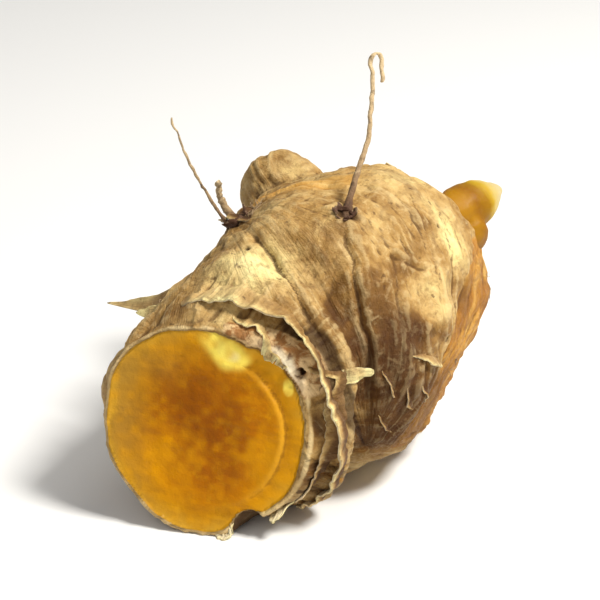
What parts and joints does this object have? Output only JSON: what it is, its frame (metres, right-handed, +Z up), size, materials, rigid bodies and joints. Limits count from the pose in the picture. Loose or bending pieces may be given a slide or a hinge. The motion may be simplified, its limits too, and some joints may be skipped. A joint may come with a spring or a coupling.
{
  "type": "javanese turmeric root",
  "caption": "Whole knobbly rhizome lying on its side, with a knife-cut end, a shoot bud, thin dry roots and torn papery leaf sheaths.",
  "frame": {"origin": "centre of the footprint of the bounding box, on the table that the rhizome lies on", "axes": "+Z up, Y along the rhizome with the cut stub towards -Y and the round bulb towards +Y, +X to the side where a daughter rhizome was broken off"},
  "size_m": [0.0679, 0.0921, 0.0808],
  "materials": {
    "skin": "matte",
    "bud": "satin",
    "rootlet": "matte",
    "sheath": "matte"
  },
  "bodies": {
    "root": {"bud_scale_low": "sheath", "bud_scale_top": "sheath", "collar_inner": "sheath", "collar_outer": "sheath", "collar_tab": "sheath", "collar_tear": "sheath", "curl_left": "sheath", "curl_low": "sheath", "flap_left": "sheath", "rhizome": "skin", "root_back": "rootlet", "root_long": "rootlet", "root_low": "rootlet", "root_side": "rootlet", "root_tail": "rootlet", "root_tuft": "rootlet", "root_tuft_thread": "rootlet", "scrap_back": "sheath", "scrap_top": "sheath", "shoot_bud": "bud"}
  },
  "joints": []
}
